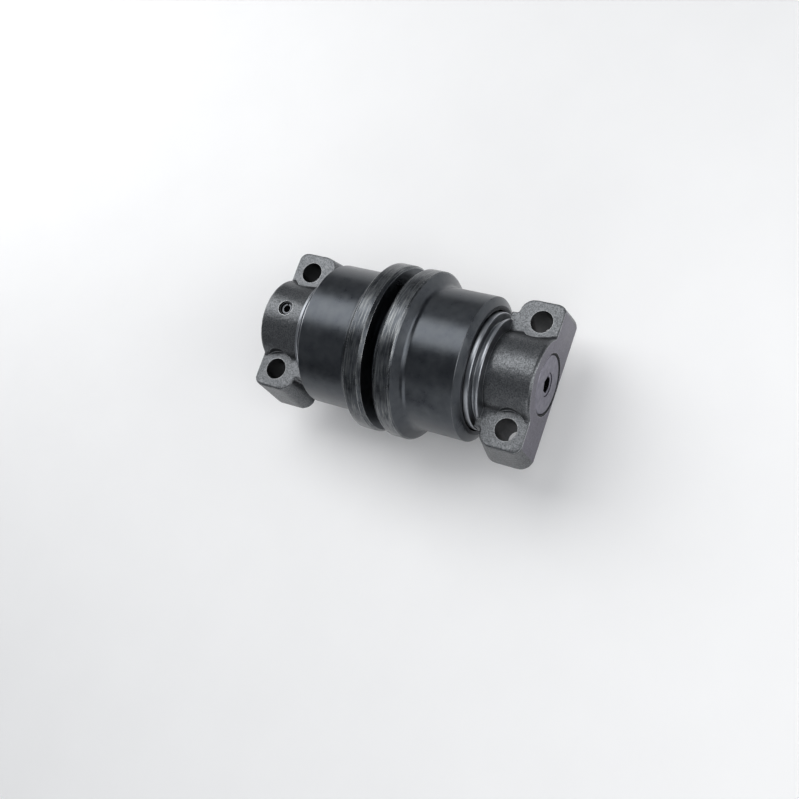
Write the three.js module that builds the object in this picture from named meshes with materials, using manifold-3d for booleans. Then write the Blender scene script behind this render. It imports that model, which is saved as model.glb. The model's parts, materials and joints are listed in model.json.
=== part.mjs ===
// Track roller with a centre double flange, for the underside of a crawler track frame.
//
// Millimetres, +Z up. The roller spins about the Y axis, which runs through the origin at the
// middle of the shell. Two end collars hold the fixed shaft. Each collar has a flat mounting
// pad that faces -Z, and two ears with bolt seats that face +Z.
import * as THREE from 'three';
import { mergeVertices } from 'three/addons/utils/BufferGeometryUtils.js';
import Module from 'manifold-3d';

// ---------------------------------------------------------------------------
// Driving dimensions
// ---------------------------------------------------------------------------

// Clearances and small edges
const FIT_GAP = 0.3; // between pieces that touch
const RUNNING_GAP = 0.5; // between pieces that turn past each other
const EDGE_BREAK = 1; // chamfer on turned edges

// Shaft, with an oil drilling that opens at its right end
const SHAFT_DIAMETER = 51;
const SHAFT_SETBACK = 0.5; // end face below the collar's end face
const SHAFT_CHAMFER = 0.8;
const OIL_DRILLING_DIAMETER = 8;
const CROSS_DRILLING_DIAMETER = 6;
const CENTRE_HOLE_DIAMETER = 7;
const CENTRE_HOLE_DEPTH = 4;
const O_RING_GROOVE_DEPTH = 2.4;
const O_RING_GROOVE_WIDTH = 3.6;
const O_RING_FROM_HOUSING = 5; // collar's seal housing floor to the groove

// Oil plug, a socket screw below the shaft's end face
const PLUG_DIAMETER = 20;
const PLUG_LENGTH = 13;
const PLUG_RECESS = 0.5;
const PLUG_SOCKET_WIDTH = 13; // across the flats
const PLUG_SOCKET_DEPTH = 7;
const PLUG_GROOVE_DEPTH = 1.7;
const PLUG_GROOVE_WIDTH = 2.2;
const PLUG_GROOVE_FROM_FACE = 1.6;

// Flanged bushings, pressed into the shell
const BUSHING_WALL = 3.5;
const BUSHING_FLANGE_HEIGHT = 7;
const BUSHING_FLANGE_THICKNESS = 4;
const BUSHING_FLANGE_SINK = 1.5; // flange face below the shell's seal housing floor
const BUSHING_LENGTH = 40;

// Floating seals: two metal rings face to face, each carried by a rubber ring
const SEAL_RING_FACE_THICKNESS = 2.6;
const SEAL_RING_WAIST = 5; // metal under the rubber ring
const SEAL_RING_BACK_LIP = 1.2;
const SEAL_HOUSING_OVER_RING = 2.7;
const TORIC_DIAMETER = 7.1;
const SEAL_END_GAP = 0.5; // back of a metal ring to its housing floor

// Collars
const HUB_WALL = 5.2; // sleeve that runs through the seal to the bushing flange
const SEAL_CUP_WALL = 6.8; // over the collar's seal housing
const SEAL_CUP_BACK = 0.5; // behind the collar's seal housing
const CUP_FACE_GAP = 1; // seal plane to the cup's open face
const CUP_GROOVE_WIDTH = 3.2; // groove that parts the cup from the rim behind it
const CUP_GROOVE_DEPTH = 7.5;
const RIM_WIDTH = 3.2;
const RIM_BELOW_CUP = 4.5;
const BARREL_WALL = 13.4; // round body over the bore, at the end face
const BARREL_DRAFT = 2.2; // the body is this much slimmer at the rim
const BARREL_END_CHAMFER = 1.8;
const BORE_MOUTH_CHAMFER = 0.9;
const PAD_WALL = 0.6; // least metal between the bore's mouth and the mounting pad
const BOLT_SPACING = 95; // across one collar
const BOLT_HOLE_DIAMETER = 18.5; // M16 clearance, coarse
const BOLT_SEAT_DIAMETER = 33;
const BOLT_SEAT_HEIGHT = 13.6; // above the shaft's axis
const EAR_BEYOND_HOLE = 17.7; // hole to the ear's tip, at the bolt seat
const EAR_INBOARD_OF_HOLE = 21.5;
const EAR_OUTBOARD_OF_HOLE = 17.5;
const EAR_DRAFT_REACH = 5; // how much longer the ear is at the pad
const EAR_DRAFT_INBOARD = 4.5;
const EAR_INBOARD_RADIUS = 12;
const EAR_OUTBOARD_RADIUS = 11;
const EAR_FROM_RIM = 3; // rim's back face to the ear, at the bolt seat
const WEB_HALF_WIDTH = 51.7; // plate that ties the ears to the rim
const WEB_RADIUS = 2;
const COLLAR_PIN_DIAMETER = 10.4;
const COLLAR_PIN_BORE = 6;
const COLLAR_PIN_ENGAGEMENT = 12; // depth in the shaft
const COLLAR_PIN_SLOT = 1.2;
const COLLAR_PIN_SINK = 3; // below the round body
const COLLAR_PIN_SINK_AT_PAD = 1;
const COLLAR_PIN_OFF_CENTRE = 3.5;
const COLLAR_PIN_INBOARD_OF_BOLTS = 2.5;

// Shell
const LABYRINTH_GAP = 1.3; // collar's cup to the shell around it
const LABYRINTH_FLOOR_GAP = 1;
const SHELL_RIM_WALL = 3.7; // at the shell's end, around the cup
const TREAD_RISE = 6.8; // tread above the shell's rim
const TREAD_CHAMFER_LENGTH = 4.2;
const TREAD_WIDTH = 45.3; // each tread, from the flange's foot
const SEAL_PLANE_INSIDE_TREAD = 4;
const FLANGE_RISE = 11.4; // flanges above the tread
const FLANGE_LAND_WIDTH = 13.4;
const FLANGE_OUTER_SLOPE = 6; // axial run from the land to the tread
const FLANGE_EDGE_BREAK = 1.4;
const FLANGE_FOOT_RADIUS = 5;
const GROOVE_FLOOR_WIDTH = 6;
const GROOVE_WALL_RUN = 2.8;
const GROOVE_DEPTH = 16.5;
const GROOVE_MOUTH_RUN = 3;
const GROOVE_MOUTH_DEPTH = 2;
const GROOVE_FLOOR_RADIUS = 2.5;
const OIL_CHAMBER_DEPTH = 4; // beyond the shell's bore

// Facets
const ROUND_STEPS = 36;
const SMALL_ROUND_STEPS = 20;
const TORIC_STEPS = 8;
const O_RING_STEPS = 6;
const CORNER_STEPS = 1;
const EAR_CORNER_STEPS = 3;
const WELD_DISTANCE = 1e-5;

// ---------------------------------------------------------------------------
// Sizes worked out from the driving dimensions
// ---------------------------------------------------------------------------

const shaftRadius = SHAFT_DIAMETER / 2;
const collarBore = shaftRadius + FIT_GAP;
const hubRadius = collarBore + HUB_WALL;

// Shell and flanges, from the centre outwards along the axis
const grooveWallTop = GROOVE_FLOOR_WIDTH / 2 + GROOVE_WALL_RUN;
const landStart = grooveWallTop + GROOVE_MOUTH_RUN;
const landEnd = landStart + FLANGE_LAND_WIDTH;
const flangeFoot = landEnd + FLANGE_OUTER_SLOPE;
const treadEnd = flangeFoot + TREAD_WIDTH;
const shellEnd = treadEnd + TREAD_CHAMFER_LENGTH;
const sealPlane = treadEnd - SEAL_PLANE_INSIDE_TREAD;

// Floating seal
const toricRoom = TORIC_DIAMETER + 2 * FIT_GAP;
const sealRingLength = SEAL_RING_FACE_THICKNESS + toricRoom + SEAL_RING_BACK_LIP;
const sealRingBore = hubRadius + RUNNING_GAP;
const sealRingWaistRadius = sealRingBore + SEAL_RING_WAIST;
const sealHousingRadius = sealRingWaistRadius + toricRoom;
const sealRingFaceRadius = sealHousingRadius - SEAL_HOUSING_OVER_RING;
const sealDepth = sealRingLength + FIT_GAP / 2 + SEAL_END_GAP;
const shellHousingFloor = sealPlane - sealDepth;
const collarHousingFloor = sealPlane + sealDepth;

// Bushings
const bushingBore = shaftRadius + FIT_GAP;
const bushingRadius = bushingBore + BUSHING_WALL;
const bushingFlangeRadius = bushingRadius + BUSHING_FLANGE_HEIGHT;
const bushingFace = shellHousingFloor - BUSHING_FLANGE_SINK;
const bushingFlangeBack = bushingFace - BUSHING_FLANGE_THICKNESS;
const bushingEnd = bushingFace - BUSHING_LENGTH;
const shellBore = bushingRadius + FIT_GAP;
const oilChamberEnd = bushingEnd - FIT_GAP;

// Radii that build outwards from the seal
const cupRadius = sealHousingRadius + SEAL_CUP_WALL;
const labyrinthRadius = cupRadius + LABYRINTH_GAP;
const shellRimRadius = labyrinthRadius + SHELL_RIM_WALL;
const treadRadius = shellRimRadius + TREAD_RISE;
const flangeRadius = treadRadius + FLANGE_RISE;

// Collar, along the axis
const hubEnd = bushingFace + FIT_GAP;
const cupFace = sealPlane + CUP_FACE_GAP;
const cupBack = collarHousingFloor + SEAL_CUP_BACK;
const rimFace = cupBack + CUP_GROOVE_WIDTH;
const rimBack = rimFace + RIM_WIDTH;
const earInboard = rimBack + EAR_FROM_RIM;
const boltPlane = earInboard + EAR_INBOARD_OF_HOLE;
const collarEnd = boltPlane + EAR_OUTBOARD_OF_HOLE;
const shaftEnd = collarEnd - SHAFT_SETBACK;

// Collar, across and up
const boltOffset = BOLT_SPACING / 2;
const boltHoleRadius = BOLT_HOLE_DIAMETER / 2;
const rimRadius = cupRadius - RIM_BELOW_CUP;
const barrelRadius = collarBore + BARREL_WALL;
const padHeight = -(collarBore + BORE_MOUTH_CHAMFER + PAD_WALL);
const earTipAtPad = boltOffset + EAR_BEYOND_HOLE + EAR_DRAFT_REACH;
const earInboardAtPad = earInboard - EAR_DRAFT_INBOARD;
const earHeight = BOLT_SEAT_HEIGHT - padHeight;

// Rings and pins in the shaft
const oRingPlane = collarHousingFloor + O_RING_FROM_HOUSING;
const oRingGrooveRadius = shaftRadius - O_RING_GROOVE_DEPTH;
const pinRadius = COLLAR_PIN_DIAMETER / 2;
const pinHoleRadius = pinRadius + FIT_GAP;
const pinPlane = boltPlane - COLLAR_PIN_INBOARD_OF_BOLTS;
const plugRadius = PLUG_DIAMETER / 2;
const plugHoleRadius = plugRadius + FIT_GAP;
const plugFace = shaftEnd - PLUG_RECESS;

// ---------------------------------------------------------------------------
// Finishes
// ---------------------------------------------------------------------------

function finish(color, roughness, metalness) {
  return () => new THREE.MeshStandardMaterial({ color, roughness, metalness });
}

const turnedShellSteel = finish('#33373b', 0.42, 0.7);
const castCollarSteel = finish('#4b4e50', 0.62, 0.6);
const groundShaftSteel = finish('#6b6a72', 0.35, 0.9);
const blackenedSteel = finish('#25262a', 0.5, 0.8);
const lappedSealSteel = finish('#8f9296', 0.22, 1);
const springSteel = finish('#4a4b4f', 0.4, 0.9);
const bearingBronze = finish('#a9803f', 0.38, 0.9);
const sealRubber = finish('#17181a', 0.8, 0);

// ---------------------------------------------------------------------------
// Shape helpers
// ---------------------------------------------------------------------------

// A closed outline through corners [x, y, radius]. A corner with no radius stays sharp.
function outline(corners) {
  const shape = new THREE.Shape();
  corners.forEach(([x, y, radius = 0], i) => {
    const corner = new THREE.Vector2(x, y);
    if (radius === 0) {
      addPoint(shape, corner, i);
      return;
    }
    const before = corners[(i + corners.length - 1) % corners.length];
    const after = corners[(i + 1) % corners.length];
    const back = new THREE.Vector2(before[0], before[1]).sub(corner).normalize();
    const ahead = new THREE.Vector2(after[0], after[1]).sub(corner).normalize();
    const halfAngle = Math.acos(back.dot(ahead)) / 2;
    const reach = radius / Math.tan(halfAngle);
    const start = back.clone().multiplyScalar(reach).add(corner);
    const end = ahead.clone().multiplyScalar(reach).add(corner);
    const middle = back.clone().add(ahead).normalize();
    const centre = middle.multiplyScalar(radius / Math.sin(halfAngle)).add(corner);
    addPoint(shape, start, i);
    shape.absarc(
      centre.x,
      centre.y,
      radius,
      Math.atan2(start.y - centre.y, start.x - centre.x),
      Math.atan2(end.y - centre.y, end.x - centre.x),
      back.cross(ahead) > 0,
    );
  });
  shape.closePath();
  return shape;
}

function addPoint(shape, point, index) {
  if (index === 0) {
    shape.moveTo(point.x, point.y);
  } else {
    shape.lineTo(point.x, point.y);
  }
}

// Corners of a right half, from the centre outwards, with their mirror image before them.
function bothHalves(half) {
  const mirrored = half.map(([radius, along, round]) => [radius, -along, round]);
  return [...mirrored.reverse(), ...half];
}

// A solid of revolution about Y from corners [radius, position along Y, rounding]. The corners
// run anticlockwise: up the outside and back down the inside.
function turned(corners, steps = ROUND_STEPS) {
  const points = outline(corners).getPoints(CORNER_STEPS);
  return toSolid(new THREE.LatheGeometry(points, steps));
}

// A cylinder about Y between two positions along it.
function rod(radius, from, to, steps = ROUND_STEPS) {
  return turned([[0, from], [radius, from], [radius, to], [0, to]], steps);
}

// A cylinder that points up, over (x, y), between two heights.
function upright(radius, x, y, from, to, steps = SMALL_ROUND_STEPS) {
  const geometry = new THREE.CylinderGeometry(radius, radius, to - from, steps);
  geometry.rotateX(Math.PI / 2);
  geometry.translate(x, y, (from + to) / 2);
  return toSolid(geometry);
}

function block(min, max) {
  const size = max.map((value, i) => value - min[i]);
  const geometry = new THREE.BoxGeometry(...size);
  geometry.translate(...max.map((value, i) => (value + min[i]) / 2));
  return toSolid(geometry);
}

// A closed geometry as a solid that can be cut and joined.
function toSolid(geometry) {
  geometry.deleteAttribute('normal');
  geometry.deleteAttribute('uv');
  const welded = mergeVertices(geometry, WELD_DISTANCE);
  const corners = welded.index.array;
  const triangles = [];
  for (let i = 0; i < corners.length; i += 3) {
    const [a, b, c] = corners.slice(i, i + 3);
    if (a !== b && b !== c && c !== a) {
      triangles.push(a, b, c);
    }
  }
  return new wasm.Manifold(new wasm.Mesh({
    numProp: 3,
    vertProperties: new Float32Array(welded.attributes.position.array),
    triVerts: new Uint32Array(triangles),
  }));
}

function toMesh(name, solid, material) {
  const { vertProperties, triVerts } = solid.getMesh();
  const geometry = new THREE.BufferGeometry();
  geometry.setAttribute('position', new THREE.BufferAttribute(vertProperties, 3));
  geometry.setIndex(new THREE.BufferAttribute(triVerts, 1));
  geometry.computeVertexNormals();
  const mesh = new THREE.Mesh(geometry, material());
  mesh.name = name;
  return mesh;
}

// A rubber ring about Y, centred on the origin.
function rubberRing(name, ringRadius, sectionRadius, sectionSteps) {
  const geometry = new THREE.TorusGeometry(ringRadius, sectionRadius, sectionSteps, ROUND_STEPS);
  geometry.rotateX(Math.PI / 2);
  return toMesh(name, toSolid(geometry), sealRubber);
}

// ---------------------------------------------------------------------------
// Turning parts
// ---------------------------------------------------------------------------

function rollerShell() {
  const outside = [
    [flangeRadius - GROOVE_DEPTH, GROOVE_FLOOR_WIDTH / 2, GROOVE_FLOOR_RADIUS],
    [flangeRadius - GROOVE_MOUTH_DEPTH, grooveWallTop],
    [flangeRadius, landStart],
    [flangeRadius, landEnd - FLANGE_EDGE_BREAK],
    [flangeRadius - FLANGE_EDGE_BREAK, landEnd],
    [treadRadius, flangeFoot, FLANGE_FOOT_RADIUS],
    [treadRadius, treadEnd],
    [shellRimRadius, shellEnd],
  ];
  const inside = [
    [shellBore + OIL_CHAMBER_DEPTH, oilChamberEnd],
    [shellBore, oilChamberEnd],
    [shellBore, bushingFlangeBack - FIT_GAP],
    [bushingFlangeRadius + FIT_GAP, bushingFlangeBack - FIT_GAP],
    [bushingFlangeRadius + FIT_GAP, shellHousingFloor],
    [sealHousingRadius, shellHousingFloor],
    [sealHousingRadius, sealPlane - LABYRINTH_FLOOR_GAP],
    [labyrinthRadius, sealPlane - LABYRINTH_FLOOR_GAP],
    [labyrinthRadius, shellEnd],
  ];
  const profile = [...bothHalves(outside), ...bothHalves(inside).reverse()];
  return toMesh('roller_shell', turned(profile), turnedShellSteel);
}

function bushing(side) {
  const profile = [
    [bushingRadius, bushingEnd],
    [bushingRadius, bushingFlangeBack],
    [bushingFlangeRadius, bushingFlangeBack],
    [bushingFlangeRadius, bushingFace],
    [bushingBore, bushingFace],
    [bushingBore, bushingEnd],
  ];
  return toMesh(`bushing_${side}`, turned(profile), bearingBronze);
}

// One metal ring of a floating seal. Its lapped face points along `facing`, at the seal plane.
function sealRing(name, facing) {
  const at = (depth) => sealPlane - facing * (FIT_GAP / 2 + depth);
  const waistStart = SEAL_RING_FACE_THICKNESS;
  const waistEnd = waistStart + toricRoom;
  const backLipRadius = sealRingWaistRadius + SEAL_RING_BACK_LIP;
  const profile = [
    [sealRingBore, at(0)],
    [sealRingBore, at(sealRingLength)],
    [backLipRadius, at(sealRingLength)],
    [backLipRadius, at(waistEnd)],
    [sealRingWaistRadius, at(waistEnd)],
    [sealRingWaistRadius, at(waistStart)],
    [sealRingFaceRadius, at(waistStart)],
    [sealRingFaceRadius, at(0)],
  ];
  if (facing < 0) {
    profile.reverse();
  }
  return toMesh(name, turned(profile), lappedSealSteel);
}

function toricRing(name, facing) {
  const ringRadius = sealRingWaistRadius + FIT_GAP + TORIC_DIAMETER / 2;
  const depth = FIT_GAP / 2 + SEAL_RING_FACE_THICKNESS + toricRoom / 2;
  const ring = rubberRing(name, ringRadius, TORIC_DIAMETER / 2, TORIC_STEPS);
  ring.position.y = sealPlane - facing * depth;
  return ring;
}

// ---------------------------------------------------------------------------
// Fixed parts
// ---------------------------------------------------------------------------

function shaft() {
  const grooveStart = oRingPlane - O_RING_GROOVE_WIDTH / 2;
  const grooveEnd = oRingPlane + O_RING_GROOVE_WIDTH / 2;
  const outside = [
    [shaftRadius, grooveStart],
    [oRingGrooveRadius, grooveStart],
    [oRingGrooveRadius, grooveEnd],
    [shaftRadius, grooveEnd],
    [shaftRadius, shaftEnd - SHAFT_CHAMFER],
    [shaftRadius - SHAFT_CHAMFER, shaftEnd],
    [0, shaftEnd],
  ];
  const centreHole = turned([
    [0, -shaftEnd - CENTRE_HOLE_DEPTH],
    [CENTRE_HOLE_DIAMETER, -shaftEnd - CENTRE_HOLE_DEPTH],
    [0, -shaftEnd + CENTRE_HOLE_DEPTH],
  ], SMALL_ROUND_STEPS);
  const drilling = rod(OIL_DRILLING_DIAMETER / 2, 0, collarEnd, SMALL_ROUND_STEPS);
  const cross = upright(CROSS_DRILLING_DIAMETER / 2, 0, 0, -SHAFT_DIAMETER, SHAFT_DIAMETER);
  const plugHole = rod(plugHoleRadius, plugFace - PLUG_LENGTH - FIT_GAP, collarEnd);
  const leftPinHole = pinHole('left').rotate([0, 0, 180]);
  let solid = turned(bothHalves(outside));
  for (const cut of [centreHole, drilling, cross, plugHole, leftPinHole, pinHole('right')]) {
    solid = solid.subtract(cut);
  }
  return toMesh('shaft', solid, groundShaftSteel);
}

function oilPlug() {
  const grooveEnd = plugFace - PLUG_GROOVE_FROM_FACE;
  const grooveStart = grooveEnd - PLUG_GROOVE_WIDTH;
  const body = turned([
    [0, plugFace - PLUG_LENGTH],
    [plugRadius - EDGE_BREAK, plugFace - PLUG_LENGTH],
    [plugRadius, plugFace - PLUG_LENGTH + EDGE_BREAK],
    [plugRadius, grooveStart],
    [plugRadius - PLUG_GROOVE_DEPTH, grooveStart],
    [plugRadius - PLUG_GROOVE_DEPTH, grooveEnd],
    [plugRadius, grooveEnd],
    [plugRadius, plugFace],
    [0, plugFace],
  ], SMALL_ROUND_STEPS);
  const hexSides = 6;
  const hexCorner = PLUG_SOCKET_WIDTH / 2 / Math.cos(Math.PI / hexSides);
  const socket = rod(hexCorner, plugFace - PLUG_SOCKET_DEPTH, collarEnd, hexSides);
  return toMesh('oil_plug', body.subtract(socket), blackenedSteel);
}

function oilPlugORing() {
  const room = PLUG_GROOVE_DEPTH + FIT_GAP;
  const section = (room - FIT_GAP) / 2;
  const ring = rubberRing('oil_plug_o_ring', plugHoleRadius - room / 2, section, O_RING_STEPS);
  ring.position.y = plugFace - PLUG_GROOVE_FROM_FACE - PLUG_GROOVE_WIDTH / 2;
  return ring;
}

function shaftORing(side) {
  const room = collarBore - oRingGrooveRadius;
  const section = (room - FIT_GAP) / 2;
  const ringRadius = oRingGrooveRadius + room / 2;
  const ring = rubberRing(`shaft_o_ring_${side}`, ringRadius, section, O_RING_STEPS);
  ring.position.y = oRingPlane;
  return ring;
}

// The left collar's pin goes in from the top of the round body, the right one's from the pad.
// Heights of the pin's outer end and inner end.
function pinHeights(side) {
  const innerHeight = shaftRadius - COLLAR_PIN_ENGAGEMENT;
  if (side === 'left') {
    return [barrelRadius - BARREL_DRAFT / 2 - COLLAR_PIN_SINK, innerHeight];
  }
  return [padHeight + COLLAR_PIN_SINK_AT_PAD, -innerHeight];
}

// The drilling for a collar's pin, at the right end.
function pinHole(side) {
  const [outer, inner] = pinHeights(side);
  const outward = Math.sign(outer);
  const ends = [outward * flangeRadius, inner - outward * FIT_GAP];
  const [low, high] = [Math.min(...ends), Math.max(...ends)];
  return upright(pinHoleRadius, COLLAR_PIN_OFF_CENTRE, pinPlane, low, high);
}

function collarPin(side) {
  const ends = pinHeights(side);
  const [low, high] = [Math.min(...ends), Math.max(...ends)];
  const x = COLLAR_PIN_OFF_CENTRE;
  const body = upright(pinRadius, x, pinPlane, low, high);
  const bore = upright(COLLAR_PIN_BORE / 2, x, pinPlane, low - EDGE_BREAK, high + EDGE_BREAK);
  const slot = block(
    [x, pinPlane - COLLAR_PIN_SLOT / 2, low - EDGE_BREAK],
    [x + COLLAR_PIN_DIAMETER, pinPlane + COLLAR_PIN_SLOT / 2, high + EDGE_BREAK],
  );
  return toMesh(`collar_pin_${side}`, body.subtract(bore).subtract(slot), springSteel);
}

// Hub, seal cup, rim and round body of a collar, turned as one.
function collarBody() {
  return turned([
    [0, hubEnd],
    [hubRadius, hubEnd],
    [hubRadius, collarHousingFloor],
    [sealHousingRadius, collarHousingFloor],
    [sealHousingRadius, cupFace],
    [cupRadius, cupFace],
    [cupRadius, cupBack - EDGE_BREAK],
    [cupRadius - EDGE_BREAK, cupBack],
    [cupRadius - CUP_GROOVE_DEPTH, cupBack],
    [cupRadius - CUP_GROOVE_DEPTH, rimFace],
    [rimRadius, rimFace],
    [rimRadius, rimBack],
    [barrelRadius - BARREL_DRAFT, rimBack],
    [barrelRadius, collarEnd - BARREL_END_CHAMFER],
    [barrelRadius - BARREL_END_CHAMFER, collarEnd],
    [0, collarEnd],
  ]);
}

// The plate that carries both bolt ears. It grows towards the pad, and its end face stays flat.
function earPlate() {
  const plan = outline([
    [-earTipAtPad, earInboardAtPad, EAR_INBOARD_RADIUS],
    [earTipAtPad, earInboardAtPad, EAR_INBOARD_RADIUS],
    [earTipAtPad, collarEnd, EAR_OUTBOARD_RADIUS],
    [-earTipAtPad, collarEnd, EAR_OUTBOARD_RADIUS],
  ]);
  const options = { depth: earHeight, bevelEnabled: false, curveSegments: EAR_CORNER_STEPS };
  const geometry = new THREE.ExtrudeGeometry(plan, options);
  const shrinkAcross = EAR_DRAFT_REACH / earTipAtPad;
  const shrinkAlong = EAR_DRAFT_INBOARD / (collarEnd - earInboardAtPad);
  const corners = geometry.attributes.position;
  for (let i = 0; i < corners.count; i += 1) {
    const height = corners.getZ(i) / earHeight;
    corners.setX(i, corners.getX(i) * (1 - shrinkAcross * height));
    corners.setY(i, collarEnd - (collarEnd - corners.getY(i)) * (1 - shrinkAlong * height));
  }
  geometry.translate(0, 0, padHeight);
  return toSolid(geometry);
}

// The narrower plate that ties the ears to the rim.
function web() {
  const plan = outline([
    [-WEB_HALF_WIDTH, rimFace, WEB_RADIUS],
    [WEB_HALF_WIDTH, rimFace, WEB_RADIUS],
    [WEB_HALF_WIDTH, boltPlane],
    [-WEB_HALF_WIDTH, boltPlane],
  ]);
  const options = { depth: earHeight, bevelEnabled: false, curveSegments: EAR_CORNER_STEPS };
  const geometry = new THREE.ExtrudeGeometry(plan, options);
  geometry.translate(0, 0, padHeight);
  return toSolid(geometry);
}

function collar(side) {
  const reach = 2 * flangeRadius;
  const belowPad = block([-reach, rimBack, -reach], [reach, collarEnd + reach, padHeight]);
  const mouth = collarBore + BORE_MOUTH_CHAMFER;
  const bore = turned([
    [0, hubEnd - EDGE_BREAK],
    [collarBore, hubEnd - EDGE_BREAK],
    [collarBore, collarEnd - BORE_MOUTH_CHAMFER],
    [mouth, collarEnd],
    [mouth, collarEnd + EDGE_BREAK],
    [0, collarEnd + EDGE_BREAK],
  ]);
  const cuts = [belowPad, bore];
  for (const x of [-boltOffset, boltOffset]) {
    cuts.push(upright(boltHoleRadius, x, boltPlane, padHeight - EDGE_BREAK, barrelRadius));
    cuts.push(upright(BOLT_SEAT_DIAMETER / 2, x, boltPlane, BOLT_SEAT_HEIGHT, flangeRadius));
  }
  cuts.push(pinHole(side));
  let solid = collarBody().add(earPlate()).add(web());
  for (const cut of cuts) {
    solid = solid.subtract(cut);
  }
  return toMesh(`collar_${side}`, solid, castCollarSteel);
}

// ---------------------------------------------------------------------------
// Assembly
// ---------------------------------------------------------------------------

// Everything at one end, built for the right end. The left end is the same, turned half round.
function endGroup(side) {
  const group = new THREE.Group();
  group.add(
    bushing(side),
    sealRing(`shell_seal_ring_${side}`, 1),
    toricRing(`shell_toric_ring_${side}`, 1),
    sealRing(`collar_seal_ring_${side}`, -1),
    toricRing(`collar_toric_ring_${side}`, -1),
    shaftORing(side),
    collar(side),
    collarPin(side),
  );
  group.rotation.z = side === 'left' ? Math.PI : 0;
  return group;
}

function trackRoller() {
  const roller = new THREE.Group();
  roller.add(rollerShell(), shaft(), oilPlug(), oilPlugORing());
  roller.add(endGroup('left'), endGroup('right'));
  return roller;
}

const wasm = await Module();
wasm.setup();

export default trackRoller();
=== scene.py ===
"""A track roller for a crawler's underside.

A hardened steel shell with two flanges in the middle turns on a fixed shaft that two cast collars carry.

Metres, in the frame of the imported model: the roller spins about Y, the bolt seats face +Z and the
mounting pads -Z.
"""
import json
import math

import bmesh
import bpy
from mathutils import Matrix, Vector, noise


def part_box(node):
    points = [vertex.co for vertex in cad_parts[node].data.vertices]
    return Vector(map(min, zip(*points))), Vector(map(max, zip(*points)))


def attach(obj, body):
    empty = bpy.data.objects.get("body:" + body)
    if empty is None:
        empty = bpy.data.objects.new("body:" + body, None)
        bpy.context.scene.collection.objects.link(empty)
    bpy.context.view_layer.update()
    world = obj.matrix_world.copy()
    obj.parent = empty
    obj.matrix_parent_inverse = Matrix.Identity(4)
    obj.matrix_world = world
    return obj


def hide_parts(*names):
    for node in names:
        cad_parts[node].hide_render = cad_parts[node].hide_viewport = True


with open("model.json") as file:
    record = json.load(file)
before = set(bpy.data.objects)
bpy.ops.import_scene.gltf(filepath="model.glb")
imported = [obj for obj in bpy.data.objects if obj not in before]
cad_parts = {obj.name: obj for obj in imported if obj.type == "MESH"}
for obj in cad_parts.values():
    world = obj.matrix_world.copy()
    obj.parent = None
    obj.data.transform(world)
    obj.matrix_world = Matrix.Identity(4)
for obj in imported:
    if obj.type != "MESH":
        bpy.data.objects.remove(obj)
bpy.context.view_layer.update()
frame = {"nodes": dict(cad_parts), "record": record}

# ---------------------------------------------------------------------------
# Sizes
# ---------------------------------------------------------------------------

MM = 0.001
mounts = {mount["name"]: Vector(mount["pos_m"]) for mount in frame["record"]["mounts"]}
shell_low, shell_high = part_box("roller_shell")
collar_low, collar_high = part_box("collar_right")
shaft_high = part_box("shaft")[1]
plug_low, plug_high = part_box("oil_plug")
bushing_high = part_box("bushing_right")[1]
left_pin_low, left_pin_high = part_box("collar_pin_left")
right_pin_low, right_pin_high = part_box("collar_pin_right")

# Edges as a lathe or a cast mould leaves them
TURNED_EDGE = 0.35 * MM
MILLED_EDGE = 0.5 * MM
FIT_GAP = 0.3 * MM
OVERCUT = 3 * MM  # how far a cutter runs past what it cuts
MILLING_STOCK = 0.5 * MM  # metal on a casting's faces that milling takes off
MILLING_RUN_IN = 1 * MM  # how far the milling of the pads starts behind the rim face

# Shell, from its centre outwards
FLANGE_HEIGHT = 11.4 * MM
END_CHAMFER_HEIGHT = 6.8 * MM
END_CHAMFER_LENGTH = 4.2 * MM
flange_radius = shell_high.x
shell_end = shell_high.y
tread_radius = flange_radius - FLANGE_HEIGHT
shell_rim_radius = tread_radius - END_CHAMFER_HEIGHT
tread_end = shell_end - END_CHAMFER_LENGTH
GROOVE_FLOOR_HALF = 3 * MM
GROOVE_DEPTH = 16.5 * MM
GROOVE_FLOOR_ROUND = 2.2 * MM
GROOVE_WALL_TOP = 5.8 * MM
GROOVE_MOUTH_DEPTH = 2 * MM
LAND_START = 8.8 * MM
LAND_END = 22.2 * MM
FLANGE_OUTER_EDGE = 1.4 * MM
FLANGE_FOOT = 28.2 * MM
FLANGE_FOOT_ROUND = 6 * MM
BUSHING_FLANGE = 4 * MM
BUSHING_RECESS = 1.5 * MM
SHELL_BORE_STEP = 7 * MM
shell_housing_floor = bushing_high.y + BUSHING_RECESS
bushing_seat_floor = bushing_high.y - BUSHING_FLANGE - FIT_GAP
bushing_seat_radius = bushing_high.x + FIT_GAP
shell_bore = bushing_seat_radius - SHELL_BORE_STEP

# Collar, along the shaft and around it
HUB_WALL = 5.2 * MM
SEAL_CUP_WALL = 6.8 * MM
LABYRINTH_GAP = 1.3 * MM
RIM_STEP = 4.5 * MM
cup_radius = -collar_low.z
hub_end = collar_low.y
collar_end = collar_high.y
collar_bore = shaft_high.x + FIT_GAP
hub_radius = collar_bore + HUB_WALL
seal_housing_radius = cup_radius - SEAL_CUP_WALL
labyrinth_radius = cup_radius + LABYRINTH_GAP
rim_radius = cup_radius - RIM_STEP
CUP_FACE = 70.5 * MM
LABYRINTH_OVERLAP = 2 * MM
SEAL_HOUSING_FLOOR = 81.65 * MM
CUP_BACK = 82.15 * MM
CUP_GROOVE_DEPTH = 7.5 * MM
RIM_FACE = 85.35 * MM
RIM_BACK = 88.55 * MM
CASTING_ROOT = 1 * MM  # how far the cast body starts behind the rim
BARREL_RADIUS = 39.2 * MM
BARREL_DRAFT = 2.2 * MM
RIM_UNDERCUT = 3 * BARREL_DRAFT
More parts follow.
